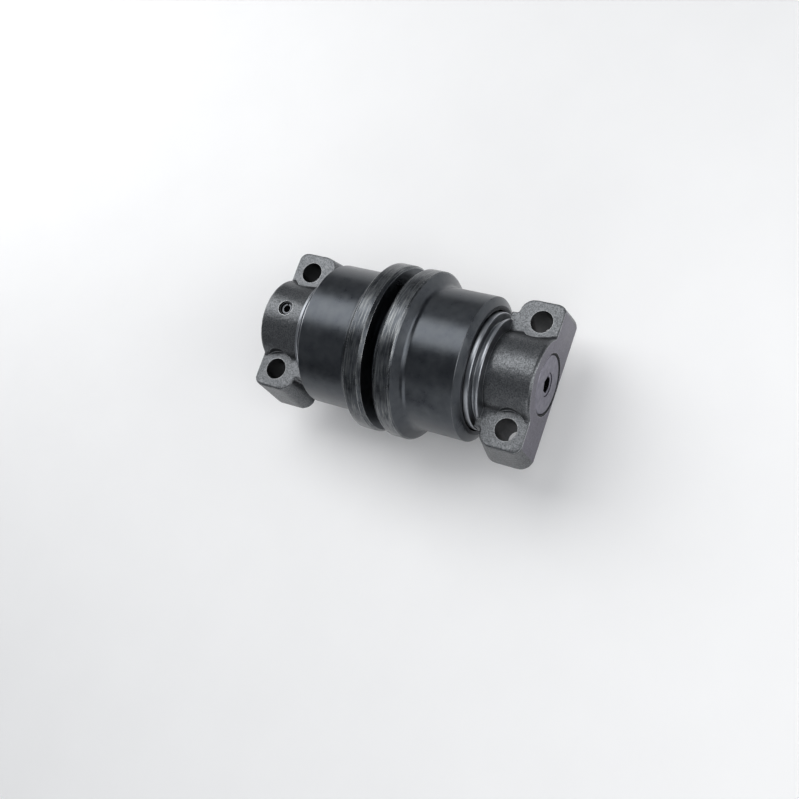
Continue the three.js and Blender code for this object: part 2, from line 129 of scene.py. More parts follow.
BARREL_END_CHAMFER = 1.8 * MM
BORE_MOUTH_CHAMFER = 1.3 * MM

# Bolt ears
pad_height = mounts["pad_right"].z
seat_height = mounts["bolt_seat_right_front"].z
bolt_plane = mounts["bolt_seat_right_front"].y
ear_tip_at_pad = collar_high.x
BOLT_OFFSET = 47.5 * MM
BOLT_HOLE_RADIUS = 9.25 * MM
BOLT_SEAT_RADIUS = 16.5 * MM
EAR_DRAFT_REACH = 5 * MM
EAR_DRAFT_INBOARD = 4.5 * MM
EAR_INBOARD = 91.55 * MM
EAR_INBOARD_ROUND = 12 * MM
EAR_OUTBOARD_ROUND_AT_PAD = 12 * MM
EAR_OUTBOARD_ROUND_AT_SEAT = 8 * MM
WEB_HALF_WIDTH = 51.7 * MM

# Casting
CAST_VOXEL = 0.75 * MM
CAST_SMOOTHING = 14
CAST_ROUGHNESS = 0.09 * MM
BROAD_LUMP = 3.2 * MM
SMALL_LUMP = 1.4 * MM
SMALL_LUMP_SHARE = 0.6

# Shaft, plug and pins
SHAFT_CHAMFER = 1 * MM
SHAFT_CHAMFER_ROUNDING = 0.4 * SHAFT_CHAMFER
CENTRE_HOLE_DEPTH = 4 * MM
CENTRE_HOLE_CONE = 7 * MM  # its cutter's radius, as far outside the shaft as the hole is deep
PLUG_SOCKET_WIDTH = 13 * MM
PLUG_SOCKET_DEPTH = 7 * MM
PLUG_SOCKET_TIP = 2 * MM
PLUG_SOCKET_SIDES = 6
PIN_WALL = 2.2 * MM
PIN_SLOT = 1.2 * MM
PIN_MOUTH_WIDENING = 1.3 * MM
PIN_MOUTH_DEPTH = 2.5 * MM

ROUND_STEPS = 192
SMALL_ROUND_STEPS = 72
ARC_STEPS = 5
ON_AXIS = 1e-6  # a point nearer the axis than this is on it
SHARP_ANGLE = math.radians(28)  # two faces that meet at more than this show an edge


# ---------------------------------------------------------------------------
# Shape helpers
# ---------------------------------------------------------------------------


def rounded(corners):
    """Points of a closed outline through corners (x, y, radius), with an arc where a corner has a radius."""
    points = []
    for index, (x, y, radius) in enumerate(corners):
        corner = Vector((x, y))
        if radius == 0:
            points.append(corner)
            continue
        back = (Vector(corners[index - 1][:2]) - corner).normalized()
        ahead = (Vector(corners[(index + 1) % len(corners)][:2]) - corner).normalized()
        half_angle = back.angle(ahead) / 2
        centre = corner + (back + ahead).normalized() * radius / math.sin(half_angle)
        start = corner + back * radius / math.tan(half_angle) - centre
        turn = math.pi - 2 * half_angle
        if back.cross(ahead) > 0:
            turn = -turn
        for step in range(ARC_STEPS + 1):
            points.append(centre + Matrix.Rotation(turn * step / ARC_STEPS, 2) @ start)
    return points


def new_piece(name, bm, finish_index=0):
    """An object from a finished bmesh, with smooth faces that stay crisp at real edges."""
    bmesh.ops.recalc_face_normals(bm, faces=bm.faces)
    for face in bm.faces:
        face.material_index = finish_index
    mesh = bpy.data.meshes.new(name)
    bm.to_mesh(mesh)
    bm.free()
    piece = bpy.data.objects.new(name, mesh)
    bpy.context.scene.collection.objects.link(piece)
    crisp(piece)
    return piece


def crisp(piece):
    """Smooth shading, broken where two faces meet at a real edge."""
    piece.data.shade_smooth()
    piece.data.set_sharp_from_angle(angle=SHARP_ANGLE)


def turned(name, corners, steps=ROUND_STEPS, finish_index=0):
    """A piece turned about Y from a closed outline of corners (radius, position along Y, rounding)."""
    bm = bmesh.new()
    rings = []
    for radius, along in rounded(corners):
        if radius < ON_AXIS:
            rings.append([bm.verts.new((0, along, 0))])
            continue
        angles = [2 * math.pi * step / steps for step in range(steps)]
        rings.append([bm.verts.new((radius * math.cos(a), along, radius * math.sin(a))) for a in angles])
    for ring, following in zip(rings, rings[1:] + rings[:1]):
        for step in range(steps):
            corners_here = [ring[step % len(ring)], ring[(step + 1) % steps % len(ring)]]
            corners_there = [following[(step + 1) % steps % len(following)], following[step % len(following)]]
            face = list(dict.fromkeys(corners_here + corners_there))
            if len(face) > 2:
                bm.faces.new(face)
    return new_piece(name, bm, finish_index)


def extruded(name, outline, low, high, finish_index=0):
    """A plate between two heights. outline(height) gives its points at that height."""
    bm = bmesh.new()
    bottom = [bm.verts.new((x, y, low)) for x, y in outline(low)]
    top = [bm.verts.new((x, y, high)) for x, y in outline(high)]
    bm.faces.new(bottom)
    bm.faces.new(top)
    for index in range(len(bottom)):
        following = (index + 1) % len(bottom)
        bm.faces.new([bottom[index], bottom[following], top[following], top[index]])
    return new_piece(name, bm, finish_index)


def block(low, high, finish_index=0):
    """A box between two corners, for cutting."""
    corners = [(low[0], low[1]), (high[0], low[1]), (high[0], high[1]), (low[0], high[1])]
    return extruded("cutter", lambda height: corners, low[2], high[2], finish_index)


def upright(corners, x, y, finish_index=0, steps=SMALL_ROUND_STEPS):
    """A cutter turned about a vertical line over (x, y), from corners (radius, height, rounding)."""
    cutter = turned("cutter", corners, steps, finish_index)
    cutter.data.transform(Matrix.Translation((x, y, 0)) @ Matrix.Rotation(math.pi / 2, 4, "X"))
    return cutter


def settle(piece):
    """Applies a piece's modifiers to its mesh."""
    shaped = piece.evaluated_get(bpy.context.evaluated_depsgraph_get())
    piece.data = bpy.data.meshes.new_from_object(shaped)
    piece.modifiers.clear()


def combine(piece, tool, operation):
    """Joins a tool to a piece, or cuts it away, and removes the tool."""
    modifier = piece.modifiers.new(operation, "BOOLEAN")
    modifier.operation = operation
    modifier.solver = "MANIFOLD"
    modifier.object = tool
    settle(piece)
    bpy.data.objects.remove(tool)


# ---------------------------------------------------------------------------
# Finishes
# ---------------------------------------------------------------------------

# Sockets of a Mix node by place, because several share one name: its share, two colours and their result,
# and two plain values
SHARE, FIRST, SECOND, RESULT = 0, 6, 7, 2
FIRST_VALUE, SECOND_VALUE = 2, 3


def colour(hex_value):
    """An sRGB hex colour as linear red, green, blue and alpha."""
    linear = []
    for start in (1, 3, 5):
        value = int(hex_value[start:start + 2], 16) / 255
        linear.append(value / 12.92 if value <= 0.04045 else ((value + 0.055) / 1.055) ** 2.4)
    return (*linear, 1)


def add(tree, kind, inputs=None, output=0, **settings):
    """Adds a node, with its settings, sets or links its inputs, and gives the output that is used."""
    added = tree.nodes.new(kind)
    for name, value in settings.items():
        setattr(added, name, value)
    for name, value in (inputs or {}).items():
        socket = added.inputs[name]
        if isinstance(value, bpy.types.NodeSocket):
            tree.links.new(value, socket)
        else:
            socket.default_value = value
    return added.outputs[output] if added.outputs else None


def new_finish(name):
    """A material with no nodes yet, and its node tree."""
    finish = bpy.data.materials.new(name)
    finish.use_nodes = True
    finish.node_tree.nodes.clear()
    return finish, finish.node_tree


def edge_wear(tree, reach, contrast):
    """1 on edges that hands, chains and crates have rubbed, 0 on the faces between them."""
    rounded_normal = add(tree, "ShaderNodeBevel", {"Radius": reach}, samples=4)
    normal = add(tree, "ShaderNodeNewGeometry", output="Normal")
    along = add(tree, "ShaderNodeVectorMath", {0: rounded_normal, 1: normal}, "Value",
                operation="DOT_PRODUCT")
    return add(tree, "ShaderNodeMapRange", {"Value": along, "From Min": 1, "From Max": contrast})


def hollow_shade(tree, reach):
    """1 in gaps and inside corners, 0 in the open: the mask for painted shade where little light reaches."""
    open_air = add(tree, "ShaderNodeAmbientOcclusion", {"Distance": reach}, "AO", samples=6)
    return add(tree, "ShaderNodeMapRange", {"Value": open_air, "From Min": 0.75, "From Max": 0.2})


def blotches(tree, size, detail=3):
    """Cloudy variation from 0 to 1, with clouds of about this size in metres."""
    place = add(tree, "ShaderNodeTexCoord", output="Object")
    return add(tree, "ShaderNodeTexNoise", {"Vector": place, "Scale": 1 / size, "Detail": detail})


def tool_marks(tree, pitch, wander):
    """Fine rings round Y, left by a turning tool, as a height from 0 to 1."""
    place = add(tree, "ShaderNodeTexCoord", output="Object")
    stretch = (wander / pitch, 1, wander / pitch)
    squeezed = add(tree, "ShaderNodeMapping", {"Vector": place, "Scale": stretch})
    return add(tree, "ShaderNodeTexNoise", {"Vector": squeezed, "Scale": 1 / pitch, "Detail": 2})


def quenched_shell_steel():
    """Forged steel, turned, then hardened in oil: blue-grey satin skin, fine rings, cloudy burnt-oil film."""
    finish, tree = new_finish("quenched_shell_steel")
    film = blotches(tree, 9 * MM)
    speckle = blotches(tree, 1.2 * MM, detail=2)
    marks = tool_marks(tree, 0.9 * MM, 0.012 * MM)  # drawn coarser than the real 0.3 mm feed marks
    clouds = add(tree, "ShaderNodeMapRange", {"Value": film, "To Min": -0.3, "To Max": 1.3})
    base = add(tree, "ShaderNodeMix", {SHARE: clouds, FIRST: colour("#404348"), SECOND: colour("#525558")},
               RESULT, data_type="RGBA")
    # Painted shade: darker colour in the groove and in gaps, where little light reaches.
    hollow_shaded = add(tree, "ShaderNodeMix", {SHARE: hollow_shade(tree, 9 * MM), FIRST: base, SECOND: colour("#2a2c30")},
                RESULT, data_type="RGBA")
    wear = edge_wear(tree, 0.8 * MM, 0.86)
    worn = add(tree, "ShaderNodeMix", {SHARE: wear, FIRST: hollow_shaded, SECOND: colour("#9a9c9f")},
               RESULT, data_type="RGBA")
    haze = add(tree, "ShaderNodeMix", {SHARE: 0.35, FIRST_VALUE: film, SECOND_VALUE: speckle})
    roughness = add(tree, "ShaderNodeMapRange", {"Value": haze, "To Min": 0.18, "To Max": 0.44})
    rings = add(tree, "ShaderNodeBump", {"Height": marks, "Distance": 0.02 * MM, "Strength": 0.5})
    surface = add(tree, "ShaderNodeBsdfPrincipled",
                  {"Base Color": worn, "Metallic": 1, "Roughness": roughness, "Normal": rings})
    add(tree, "ShaderNodeOutputMaterial", {"Surface": surface})
    return finish


def highlit_flange_steel():
    """The same hardened steel on the flange lands: lighter and mottled as a painted highlight, with painted
    glints along the rings; scratched at the rim.
    """
    finish, tree = new_finish("highlit_flange_steel")
    scuffs = blotches(tree, 7 * MM, detail=4)
    marks = tool_marks(tree, 0.9 * MM, 0.06 * MM)  # drawn coarser than the real 0.3 mm feed marks
    clouds = add(tree, "ShaderNodeMapRange", {"Value": scuffs, "To Min": -0.5, "To Max": 1.5})
    # Painted highlight: these colours are lighter than the tread's, standing in for the light the lands
    # catch.
    film = add(tree, "ShaderNodeMix", {SHARE: clouds, FIRST: colour("#33363a"), SECOND: colour("#54575b")},
               RESULT, data_type="RGBA")
    # Painted glints: lighter streaks along the turning rings.
    ring_glints = add(tree, "ShaderNodeMapRange", {"Value": marks, "To Min": -1.3, "To Max": 1.7})
    base = add(tree, "ShaderNodeMix", {SHARE: ring_glints, FIRST: film, SECOND: colour("#7a7c7c")},
               RESULT, data_type="RGBA")
    wear = edge_wear(tree, 0.9 * MM, 0.88)
    worn = add(tree, "ShaderNodeMix", {SHARE: wear, FIRST: base, SECOND: colour("#b8babc")},
               RESULT, data_type="RGBA")
    roughness = add(tree, "ShaderNodeMapRange", {"Value": scuffs, "To Min": 0.2, "To Max": 0.37})
    rings = add(tree, "ShaderNodeBump", {"Height": marks, "Distance": 0.03 * MM, "Strength": 0.6})
    surface = add(tree, "ShaderNodeBsdfPrincipled",
                  {"Base Color": worn, "Metallic": 1, "Roughness": roughness, "Normal": rings})
    add(tree, "ShaderNodeOutputMaterial", {"Surface": surface})
    return finish


def shot_blasted_casting():
    """Cast steel, shot-blasted: dull mid-grey with a peened grain and dark pits, bright on rubbed edges."""
    finish, tree = new_finish("shot_blasted_casting")
    grain = blotches(tree, 1.1 * MM, detail=4)  # drawn coarser than the real 0.6 mm shot marks
    patches = blotches(tree, 9 * MM)
    base = add(tree, "ShaderNodeMix", {SHARE: patches, FIRST: colour("#595b5e"), SECOND: colour("#77797b")},
               RESULT, data_type="RGBA")
    pits = add(tree, "ShaderNodeMapRange", {"Value": grain, "To Min": -1, "To Max": 1.7})
    pitted = add(tree, "ShaderNodeMix", {SHARE: pits, FIRST: base, SECOND: colour("#3a3c3e")},
                 RESULT, data_type="RGBA")
    # Painted shade: darker colour in corners and gaps of the casting, where little light reaches.
    hollow_shaded = add(tree, "ShaderNodeMix", {SHARE: hollow_shade(tree, 8 * MM), FIRST: pitted, SECOND: colour("#1f2022")},
                RESULT, data_type="RGBA")
    wear = edge_wear(tree, 1 * MM, 0.88)
    worn = add(tree, "ShaderNodeMix", {SHARE: wear, FIRST: hollow_shaded, SECOND: colour("#b6b8ba")},
               RESULT, data_type="RGBA")
    roughness = add(tree, "ShaderNodeMapRange", {"Value": grain, "To Min": 0.27, "To Max": 0.46})
    peening = add(tree, "ShaderNodeBump", {"Height": grain, "Distance": 0.28 * MM, "Strength": 0.45})
    surface = add(tree, "ShaderNodeBsdfPrincipled",
                  {"Base Color": worn, "Metallic": 0.9, "Roughness": roughness, "Normal": peening})
    add(tree, "ShaderNodeOutputMaterial", {"Surface": surface})
    return finish


def milled_collar_steel():
    """Casting milled flat: even violet-grey steel, finely speckled, under a film of rust-proofing oil."""
    finish, tree = new_finish("milled_collar_steel")
    film = blotches(tree, 6 * MM)
    speckle = blotches(tree, 1.3 * MM, detail=3)  # tiny pits and dried oil, drawn about twice their size
    unevenness = blotches(tree, 2.2 * MM, detail=4)
    clouds = add(tree, "ShaderNodeMapRange", {"Value": film, "To Min": -0.4, "To Max": 1.4})
    clean = add(tree, "ShaderNodeMix", {SHARE: clouds, FIRST: colour("#53515a"), SECOND: colour("#6a6872")},
                RESULT, data_type="RGBA")
    specks = add(tree, "ShaderNodeMapRange", {"Value": speckle, "To Min": -0.4, "To Max": 0.9})
    base = add(tree, "ShaderNodeMix", {SHARE: specks, FIRST: clean, SECOND: colour("#84828b")},
               RESULT, data_type="RGBA")
    wear = edge_wear(tree, 0.9 * MM, 0.88)
    worn = add(tree, "ShaderNodeMix", {SHARE: wear, FIRST: base, SECOND: colour("#c2c2c6")},
               RESULT, data_type="RGBA")
    roughness = add(tree, "ShaderNodeMapRange", {"Value": film, "To Min": 0.36, "To Max": 0.52})
    ripple = add(tree, "ShaderNodeBump", {"Height": unevenness, "Distance": 0.03 * MM, "Strength": 0.4})
    surface = add(tree, "ShaderNodeBsdfPrincipled",
                  {"Base Color": worn, "Metallic": 0.9, "Roughness": roughness, "Normal": ripple})
    add(tree, "ShaderNodeOutputMaterial", {"Surface": surface})
    return finish


def turned_collar_steel():
    """Casting turned round on a lathe: brighter steel rings with fine feed marks."""
    finish, tree = new_finish("turned_collar_steel")
    film = blotches(tree, 7 * MM)
    marks = tool_marks(tree, 0.7 * MM, 0.012 * MM)  # drawn coarser than typical 0.2 mm feed marks
    base = add(tree, "ShaderNodeMix", {SHARE: film, FIRST: colour("#7f8287"), SECOND: colour("#9a9da1")},
               RESULT, data_type="RGBA")
    # Painted shade: darker colour in the seal groove and gaps, where little light reaches.
    hollow_shaded = add(tree, "ShaderNodeMix", {SHARE: hollow_shade(tree, 3 * MM), FIRST: base, SECOND: colour("#1b1c1f")},
                RESULT, data_type="RGBA")
    wear = edge_wear(tree, 0.6 * MM, 0.9)
    worn = add(tree, "ShaderNodeMix", {SHARE: wear, FIRST: hollow_shaded, SECOND: colour("#dcdee0")},
               RESULT, data_type="RGBA")
    roughness = add(tree, "ShaderNodeMapRange", {"Value": film, "To Min": 0.24, "To Max": 0.42})
    rings = add(tree, "ShaderNodeBump", {"Height": marks, "Distance": 0.02 * MM, "Strength": 0.5})
    surface = add(tree, "ShaderNodeBsdfPrincipled",
                  {"Base Color": worn, "Metallic": 1, "Roughness": roughness, "Normal": rings})
    add(tree, "ShaderNodeOutputMaterial", {"Surface": surface})
    return finish


def shaded_hole_steel():
    """Walls of drilled and bored holes: painted dark, as painted shade for their dim insides."""
    finish, tree = new_finish("shaded_hole_steel")
    film = blotches(tree, 2 * MM)
    # Painted shade: these dark colours stand in for the shade inside the holes.
    base = add(tree, "ShaderNodeMix", {SHARE: film, FIRST: colour("#232426"), SECOND: colour("#3a3b3d")},
               RESULT, data_type="RGBA")
    roughness = add(tree, "ShaderNodeMapRange", {"Value": film, "To Min": 0.4, "To Max": 0.65})
    scoring = add(tree, "ShaderNodeBump", {"Height": film, "Distance": 0.1 * MM, "Strength": 0.5})
    surface = add(tree, "ShaderNodeBsdfPrincipled",
                  {"Base Color": base, "Metallic": 0.9, "Roughness": roughness, "Normal": scoring})
    add(tree, "ShaderNodeOutputMaterial", {"Surface": surface})
    return finish


def ground_shaft_steel():
    """Shaft steel, faced and ground: even violet-grey, soft sheen, handling marks, painted shade in the gap
    at its edge.
    """
    finish, tree = new_finish("ground_shaft_steel")
    film = blotches(tree, 5 * MM)
    speckle = blotches(tree, 0.9 * MM, detail=3)
    clouds = add(tree, "ShaderNodeMapRange", {"Value": film, "To Min": -0.8, "To Max": 1.8})
    base = add(tree, "ShaderNodeMix", {SHARE: clouds, FIRST: colour("#6c6a76"), SECOND: colour("#85838d")},
               RESULT, data_type="RGBA")
    # Painted shade: near-black colour in the gap round the shaft's end, where little light reaches.
    gap_shaded = add(tree, "ShaderNodeMix", {SHARE: hollow_shade(tree, 4 * MM), FIRST: base, SECOND: colour("#141416")},
               RESULT, data_type="RGBA")
    roughness = add(tree, "ShaderNodeMapRange", {"Value": speckle, "To Min": 0.32, "To Max": 0.5})
    handling = add(tree, "ShaderNodeBump", {"Height": speckle, "Distance": 0.03 * MM, "Strength": 0.35})
    surface = add(tree, "ShaderNodeBsdfPrincipled",
                  {"Base Color": gap_shaded, "Metallic": 0.95, "Roughness": roughness, "Normal": handling})
    add(tree, "ShaderNodeOutputMaterial", {"Surface": surface})
    return finish


def blackened_plug_steel():
    """Plug steel, blackened in hot salts, then faced with the shaft: violet-grey face, black key socket."""
    finish, tree = new_finish("blackened_plug_steel")
    film = blotches(tree, 2 * MM)
    faced = add(tree, "ShaderNodeMix", {SHARE: film, FIRST: colour("#6a6874"), SECOND: colour("#83818c")},
                RESULT, data_type="RGBA")
    black = add(tree, "ShaderNodeMix", {SHARE: film, FIRST: colour("#0c0c0e"), SECOND: colour("#18181b")},
                RESULT, data_type="RGBA")
    normal = add(tree, "ShaderNodeNewGeometry", output="Normal")
    facing = add(tree, "ShaderNodeSeparateXYZ", {0: normal}, "Y")
    recess = add(tree, "ShaderNodeMath", {0: hollow_shade(tree, 7 * MM), 1: 0.35}, operation="GREATER_THAN")
    bright = add(tree, "ShaderNodeMath", {0: facing, 1: recess}, operation="SUBTRACT")
    base = add(tree, "ShaderNodeMix", {SHARE: bright, FIRST: black, SECOND: faced}, RESULT, data_type="RGBA")
    wear = edge_wear(tree, 0.3 * MM, 0.9)
    worn = add(tree, "ShaderNodeMix", {SHARE: wear, FIRST: base, SECOND: colour("#a8a8b0")},
               RESULT, data_type="RGBA")
    roughness = add(tree, "ShaderNodeMapRange", {"Value": film, "To Min": 0.35, "To Max": 0.55})
    surface = add(tree, "ShaderNodeBsdfPrincipled",
                  {"Base Color": worn, "Metallic": 0.9, "Roughness": roughness})
    add(tree, "ShaderNodeOutputMaterial", {"Surface": surface})
    return finish


def sprung_pin_steel():
    """Spring steel strip rolled into a pin and oiled: dark grey with lighter cut ends."""
    finish, tree = new_finish("sprung_pin_steel")
    film = blotches(tree, 1.5 * MM)
    base = add(tree, "ShaderNodeMix", {SHARE: film, FIRST: colour("#4f5154"), SECOND: colour("#6b6d71")},
               RESULT, data_type="RGBA")
    wear = edge_wear(tree, 0.3 * MM, 0.9)
    worn = add(tree, "ShaderNodeMix", {SHARE: wear, FIRST: base, SECOND: colour("#a5a7aa")},
               RESULT, data_type="RGBA")
    roughness = add(tree, "ShaderNodeMapRange", {"Value": film, "To Min": 0.3, "To Max": 0.5})
    surface = add(tree, "ShaderNodeBsdfPrincipled",
                  {"Base Color": worn, "Metallic": 1, "Roughness": roughness})
    add(tree, "ShaderNodeOutputMaterial", {"Surface": surface})
    return finish


def lapped_seal_steel():
    """Hard chilled iron, lapped flat: bright, nearly mirror-smooth, with a little oil haze."""
    finish, tree = new_finish("lapped_seal_steel")
    haze = blotches(tree, 4 * MM)
    base = add(tree, "ShaderNodeMix", {SHARE: haze, FIRST: colour("#a2a5a8"), SECOND: colour("#b4b7ba")},
               RESULT, data_type="RGBA")
    roughness = add(tree, "ShaderNodeMapRange", {"Value": haze, "To Min": 0.12, "To Max": 0.26})
    surface = add(tree, "ShaderNodeBsdfPrincipled",
                  {"Base Color": base, "Metallic": 1, "Roughness": roughness})
    add(tree, "ShaderNodeOutputMaterial", {"Surface": surface})
    return finish


def bored_bronze():
    """Bearing bronze, bored and reamed: warm yellow-brown with fine rings and dark pores."""
    finish, tree = new_finish("bored_bronze")
    pores = blotches(tree, 1 * MM, detail=3)
    marks = tool_marks(tree, 0.6 * MM, 0.012 * MM)  # drawn coarser than typical 0.2 mm reaming marks
    base = add(tree, "ShaderNodeMix", {SHARE: pores, FIRST: colour("#b98a46"), SECOND: colour("#8d6730")},
               RESULT, data_type="RGBA")
    roughness = add(tree, "ShaderNodeMapRange", {"Value": pores, "To Min": 0.25, "To Max": 0.45})
    rings = add(tree, "ShaderNodeBump", {"Height": marks, "Distance": 0.02 * MM, "Strength": 0.4})
    surface = add(tree, "ShaderNodeBsdfPrincipled",
                  {"Base Color": base, "Metallic": 1, "Roughness": roughness, "Normal": rings})
    add(tree, "ShaderNodeOutputMaterial", {"Surface": surface})
    return finish


def moulded_seal_rubber():
    """Nitrile rubber out of a polished mould: black, slightly greasy, with a soft uneven sheen."""
    finish, tree = new_finish("moulded_seal_rubber")
    bloom = blotches(tree, 3 * MM)
    base = add(tree, "ShaderNodeMix", {SHARE: bloom, FIRST: colour("#161618"), SECOND: colour("#242427")},
               RESULT, data_type="RGBA")
    roughness = add(tree, "ShaderNodeMapRange", {"Value": bloom, "To Min": 0.45, "To Max": 0.7})
    surface = add(tree, "ShaderNodeBsdfPrincipled", {"Base Color": base, "Roughness": roughness, "IOR": 1.52})
    add(tree, "ShaderNodeOutputMaterial", {"Surface": surface})
    return finish


def painted_floor():
    """Matt emulsion rolled on a board: plain pale white with a barely uneven coat."""
    finish, tree = new_finish("painted_floor")
    coat = blotches(tree, 60 * MM)
    base = add(tree, "ShaderNodeMix", {SHARE: coat, FIRST: colour("#f3f3f3"), SECOND: colour("#f7f7f7")},
               RESULT, data_type="RGBA")
    roughness = add(tree, "ShaderNodeMapRange", {"Value": coat, "To Min": 0.8, "To Max": 0.9})
    surface = add(tree, "ShaderNodeBsdfPrincipled", {"Base Color": base, "Roughness": roughness})
    add(tree, "ShaderNodeOutputMaterial", {"Surface": surface})
    return finish


# ---------------------------------------------------------------------------
# Turning pieces
# ---------------------------------------------------------------------------


def dress(piece, slot, body, node, *finishes):
    """Gives a piece its finishes and body, and lets it stand for its node. Its slot is not used."""
    # Emptying the list sets every face back to the first finish, so each face's choice is kept and put back.
    choices = [face.material_index for face in piece.data.polygons]
    piece.data.materials.clear()
    for finish in finishes:
        piece.data.materials.append(finish)
    piece.data.polygons.foreach_set("material_index", choices)
    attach(piece, body)
    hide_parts(node)


FLANGE_LAND = 1  # second finish of the shell


def roller_shell():
    """The shell: treads, flanges and groove outside; bored through, with a seal housing at each end."""
    groove_floor = flange_radius - GROOVE_DEPTH
    half = [
        (groove_floor, GROOVE_FLOOR_HALF, GROOVE_FLOOR_ROUND),
        (flange_radius - GROOVE_MOUTH_DEPTH, GROOVE_WALL_TOP, TURNED_EDGE),
        (flange_radius, LAND_START, TURNED_EDGE),
        (flange_radius, LAND_END - FLANGE_OUTER_EDGE, TURNED_EDGE),
        (flange_radius - FLANGE_OUTER_EDGE, LAND_END, TURNED_EDGE),
        (tread_radius, FLANGE_FOOT, FLANGE_FOOT_ROUND),
        (tread_radius, tread_end, 2 * TURNED_EDGE),
        (shell_rim_radius, shell_end, TURNED_EDGE),
        (labyrinth_radius, shell_end, TURNED_EDGE),
        (labyrinth_radius, CUP_FACE - LABYRINTH_OVERLAP, 0),
        (seal_housing_radius, CUP_FACE - LABYRINTH_OVERLAP, 0),
        (seal_housing_radius, shell_housing_floor, 0),
        (bushing_seat_radius, shell_housing_floor, 0),
        (bushing_seat_radius, bushing_seat_floor, 0),
        (shell_bore, bushing_seat_floor, 0),
    ]
    mirrored = [(radius, -along, rounding) for radius, along, rounding in reversed(half)]
    shell = turned("shell", mirrored + half)
    # The flange lands take the second finish, lighter as a painted highlight.
    for face in shell.data.polygons:
        if math.hypot(face.center.x, face.center.z) > flange_radius - GROOVE_MOUTH_DEPTH:
            face.material_index = FLANGE_LAND
    finishes = (quenched_shell_steel(), highlit_flange_steel())
    dress(shell, "turned_shell_steel", "roller", "roller_shell", *finishes)


# ---------------------------------------------------------------------------
# Fixed pieces
# ---------------------------------------------------------------------------

CAST, MILLED, TURNED, DRILLED = range(4)  # finishes of a collar, by face


def ear_outline(height):
    """Plan of the bolt ears at a height. They grow towards the pad, and stay flush at the end face."""
    climbed = (height - pad_height) / (seat_height - pad_height)
    tip = ear_tip_at_pad - EAR_DRAFT_REACH * climbed
    inboard = EAR_INBOARD - EAR_DRAFT_INBOARD * (1 - climbed)
    end = collar_end + MILLING_STOCK
    end_round = EAR_OUTBOARD_ROUND_AT_PAD * (1 - climbed) + EAR_OUTBOARD_ROUND_AT_SEAT * climbed
    return rounded([
        (-tip, inboard, EAR_INBOARD_ROUND),
        (tip, inboard, EAR_INBOARD_ROUND),
        (tip, end, end_round),
        (-tip, end, end_round),
    ])


def web_outline(height):
    """Plan of the plate that ties the ears to the rim, the same at every height."""
    return rounded([
        (-WEB_HALF_WIDTH, RIM_FACE, 0),
        (WEB_HALF_WIDTH, RIM_FACE, 0),
        (WEB_HALF_WIDTH, bolt_plane, 0),
        (-WEB_HALF_WIDTH, bolt_plane, 0),
    ])


def peen(piece, depth):
    """Gives a casting the slight unevenness of a sand mould."""
    outward = [vertex.normal.copy() for vertex in piece.data.vertices]
    for vertex, normal in zip(piece.data.vertices, outward):
        lumps = noise.noise(vertex.co / BROAD_LUMP) + SMALL_LUMP_SHARE * noise.noise(vertex.co / SMALL_LUMP)
        vertex.co += normal * depth * lumps
    piece.data.update()


def casting():
    """A collar as it leaves the mould: round body, ears and web run together with soft corners."""
    body = turned("casting", [
        (0, RIM_BACK - CASTING_ROOT, 0),
        (BARREL_RADIUS - BARREL_DRAFT, RIM_BACK - CASTING_ROOT, 0),
        (BARREL_RADIUS, collar_end - BARREL_END_CHAMFER, 0),
        (BARREL_RADIUS - BARREL_END_CHAMFER, collar_end + MILLING_STOCK, 0),
        (0, collar_end + MILLING_STOCK, 0),
    ])
    below_pad = pad_height - MILLING_STOCK
    ears = extruded("ears", ear_outline, below_pad, seat_height)
    web = extruded("web", web_outline, below_pad, seat_height)
    combine(body, ears, "UNION")
    combine(body, web, "UNION")
    skin = body.modifiers.new("skin", "REMESH")
    skin.mode = "VOXEL"
    skin.voxel_size = CAST_VOXEL
    soften = body.modifiers.new("soften", "SMOOTH")
    soften.factor = 0.5
    soften.iterations = CAST_SMOOTHING
    settle(body)
    peen(body, CAST_ROUGHNESS)
    return body


def turned_end():
    """What a lathe makes of a collar: hub, seal cup, groove and rim."""
    edge = TURNED_EDGE
    cup_groove = cup_radius - CUP_GROOVE_DEPTH
    return turned("turned_end", [
        (0, hub_end, 0),
        (hub_radius, hub_end, edge),
        (hub_radius, SEAL_HOUSING_FLOOR, 0),
        (seal_housing_radius, SEAL_HOUSING_FLOOR, 0),
        (seal_housing_radius, CUP_FACE, edge),
        (cup_radius, CUP_FACE, edge),
        (cup_radius, CUP_BACK, 3 * edge),
        (cup_groove, CUP_BACK, 2 * edge),
        (cup_groove, RIM_FACE, 2 * edge),
        (rim_radius, RIM_FACE, 3 * edge),
        (rim_radius, RIM_BACK, 3 * edge),
        (BARREL_RADIUS - RIM_UNDERCUT, RIM_BACK, 0),
        (BARREL_RADIUS - RIM_UNDERCUT, RIM_BACK + OVERCUT, 0),
        (0, RIM_BACK + OVERCUT, 0),
    ], finish_index=TURNED)


def pin_hole(x, y, outward):
    """Cutter for a collar pin's hole, from inside the bore out past the round body, with a wider mouth."""
    radius = (right_pin_high.x - right_pin_low.x) / 2 + FIT_GAP
    mouth = radius + PIN_MOUTH_WIDENING
    mouth_start = outward * (BARREL_RADIUS - PIN_MOUTH_DEPTH)
    far = outward * 2 * BARREL_RADIUS
    corners = [
        (0, 0, 0),
        (radius, 0, 0),
        (radius, mouth_start, 0),
        (mouth, mouth_start, 0),
        (mouth, far, 0),
        (0, far, 0),
    ]
    return upright(corners, x, y, DRILLED)


